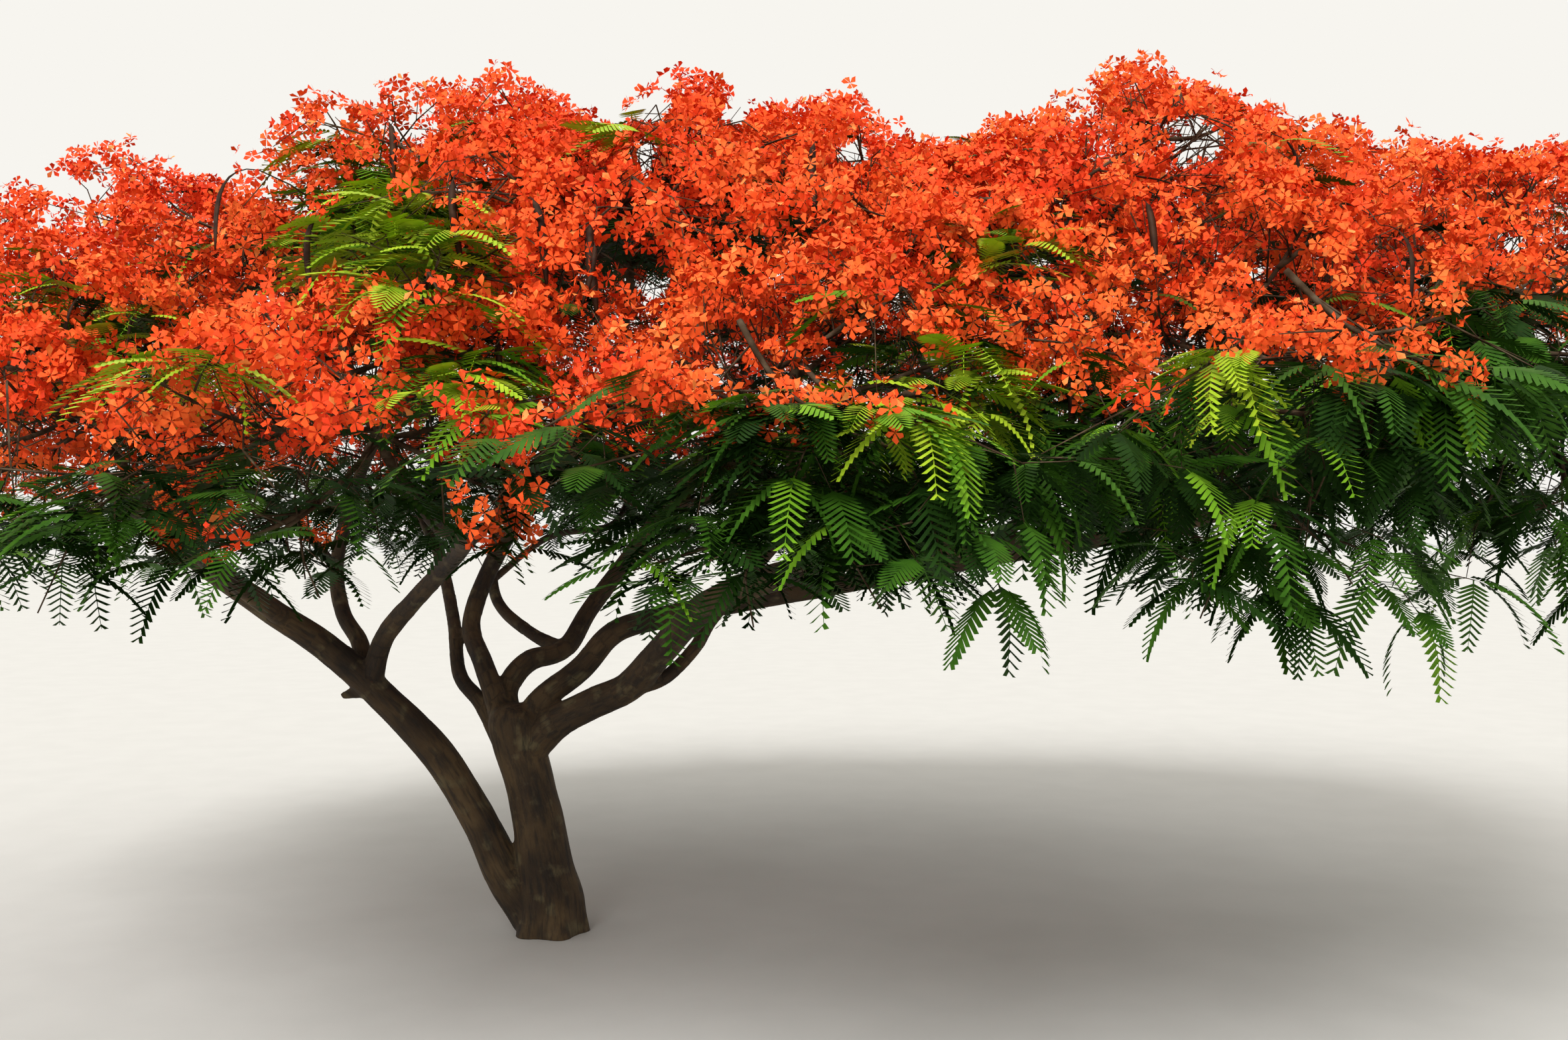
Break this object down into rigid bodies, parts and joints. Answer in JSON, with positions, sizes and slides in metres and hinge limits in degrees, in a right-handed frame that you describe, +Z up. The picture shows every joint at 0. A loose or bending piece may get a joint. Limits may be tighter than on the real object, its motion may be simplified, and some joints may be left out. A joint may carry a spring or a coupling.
{
  "type": "flame tree",
  "caption": "Spreading flame tree in full bloom: short leaning trunk, low forking boughs and a wide flat-topped crown of red blossom over feathery green leaves.",
  "frame": {"origin": "middle of the flat cut under the trunk, at ground level", "axes": "+Z up, +X to the right and +Y away from the viewer in the pictured view"},
  "size_m": [16.3921, 13.2235, 7.5074],
  "materials": {
    "bark": "rough dark brown bark with paler grey patches",
    "blossom": "vivid orange-red blossom and feathery leaves on thin twigs",
    "leaves": "bright yellow-green feathery leaves with some red blossom"
  },
  "bodies": {
    "root": {"trunk": "bark", "left_bough": "bark", "right_bough": "bark", "upper_right_bough": "bark", "middle_bough": "bark", "back_left_bough": "bark", "slim_bough": "bark", "left_inner_bough": "bark", "left_rising_bough": "bark", "middle_fork": "bark", "right_low_bough": "bark", "limb_to_middle_6": "bark", "limb_to_top_3": "bark", "limb_to_rim_5": "bark", "limb_to_rim_9": "bark", "limb_to_middle_7": "bark", "limb_to_rim_7": "bark", "limb_to_rim_11": "bark", "limb_to_top_4": "bark", "limb_to_top_1": "bark", "limb_to_middle_8": "bark", "limb_to_rim_4": "bark", "limb_to_middle_2": "bark", "limb_to_rim_3": "bark", "limb_to_middle_1": "bark", "limb_to_rim_13": "bark", "limb_to_rim_2": "bark", "mass_top_1": "blossom", "mass_top_2": "blossom", "mass_top_3": "blossom", "mass_top_4": "blossom", "mass_middle_1": "blossom", "mass_middle_2": "blossom", "mass_middle_3": "blossom", "mass_middle_4": "blossom", "mass_middle_5": "blossom", "mass_middle_6": "leaves", "mass_middle_7": "blossom", "mass_middle_8": "blossom", "mass_middle_9": "blossom", "mass_rim_1": "blossom", "mass_rim_2": "blossom", "mass_rim_3": "blossom", "mass_rim_4": "leaves", "mass_rim_5": "blossom", "mass_rim_6": "blossom", "mass_rim_7": "leaves", "mass_rim_8": "blossom", "mass_rim_9": "blossom", "mass_rim_10": "blossom", "mass_rim_11": "blossom", "mass_rim_12": "blossom", "mass_rim_13": "blossom"}
  },
  "joints": []
}
